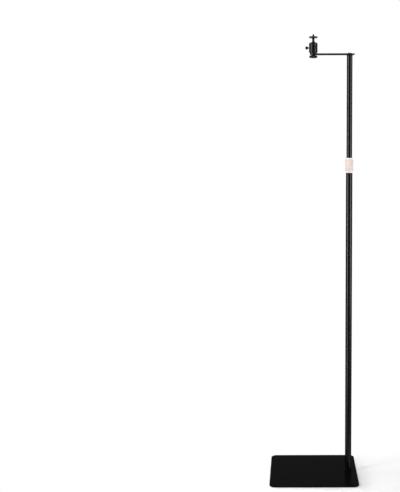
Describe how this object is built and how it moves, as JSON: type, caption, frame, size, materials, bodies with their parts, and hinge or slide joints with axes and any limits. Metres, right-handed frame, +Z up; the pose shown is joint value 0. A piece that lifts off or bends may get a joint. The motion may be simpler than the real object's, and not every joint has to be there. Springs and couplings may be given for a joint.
{
  "type": "portable projector stand",
  "caption": "Floor stand with a flat square base, a telescoping side pole, a flat arm over the base and a small ball head with a camera thread.",
  "frame": {"origin": "on the floor under the middle of the base plate, which is also under the ball head", "axes": "+X from the head to the pole, +Y to the back, +Z up"},
  "size_m": [0.3, 0.3, 1.4981],
  "materials": {
    "black_steel": "satin powder coat",
    "black_rubber": "matte",
    "black_plastic": "fine moulded grain",
    "rose_gold": "satin anodised, pale rose gold",
    "black_anodised": "satin black anodised",
    "polished_black": "polished black",
    "dark_screw": "black oxide"
  },
  "bodies": {
    "base": {"base_plate": "black_steel", "base_pad_front_left": "black_rubber", "base_pad_front_right": "black_rubber", "base_pad_back_left": "black_rubber", "base_pad_back_right": "black_rubber", "base_screw": "dark_screw", "pole_foot": "black_plastic", "lower_pole": "black_steel", "pole_joiner": "black_plastic", "middle_pole": "black_steel"},
    "collar": {"pole_collar": "rose_gold"},
    "mast": {"upper_pole": "black_steel", "pole_cap": "black_plastic"},
    "arm": {"arm": "black_steel", "arm_bolt": "dark_screw"},
    "star_knob": {"star_knob": "black_plastic", "knob_stud": "dark_screw"},
    "head": {"head_base": "black_anodised", "ball_housing": "black_anodised"},
    "lock_knob": {"lock_knob": "black_plastic", "lock_screw": "dark_screw"},
    "ball": {"ball_stem": "polished_black", "mount_screw": "dark_screw"},
    "lock_disc": {"lock_disc": "black_anodised"}
  },
  "joints": [
    {"name": "collar_twist", "type": "hinge", "parent": "base", "child": "collar", "pos_m": [0.121, 0, 1.065], "axis": [0, 0, 1], "range_deg": [0, 90]},
    {"name": "pole_slide", "type": "slide", "parent": "base", "child": "mast", "axis": [0, 0, 1], "range_m": [-0.325, 0]},
    {"name": "arm_swivel", "type": "hinge", "parent": "mast", "child": "arm", "pos_m": [0.121, 0, 1.433], "axis": [0, 0, 1], "continuous": true},
    {"name": "star_knob_turn", "type": "hinge", "parent": "arm", "child": "star_knob", "pos_m": [0, 0, 1.424], "axis": [0, 0, 1], "continuous": true},
    {"name": "head_pan", "type": "hinge", "parent": "arm", "child": "head", "pos_m": [0, 0, 1.435], "axis": [0, 0, 1], "continuous": true},
    {"name": "lock_knob_turn", "type": "hinge", "parent": "head", "child": "lock_knob", "pos_m": [-0.02, 0, 1.4537], "axis": [-1, 0, 0], "continuous": true},
    {"name": "ball_tilt", "type": "hinge", "parent": "head", "child": "ball", "pos_m": [0, 0, 1.4649], "axis": [-1, 0, 0], "range_deg": [-30, 90]},
    {"name": "lock_disc_turn", "type": "hinge", "parent": "ball", "child": "lock_disc", "pos_m": [0, 0, 1.488], "axis": [0, 0, 1], "continuous": true}
  ]
}
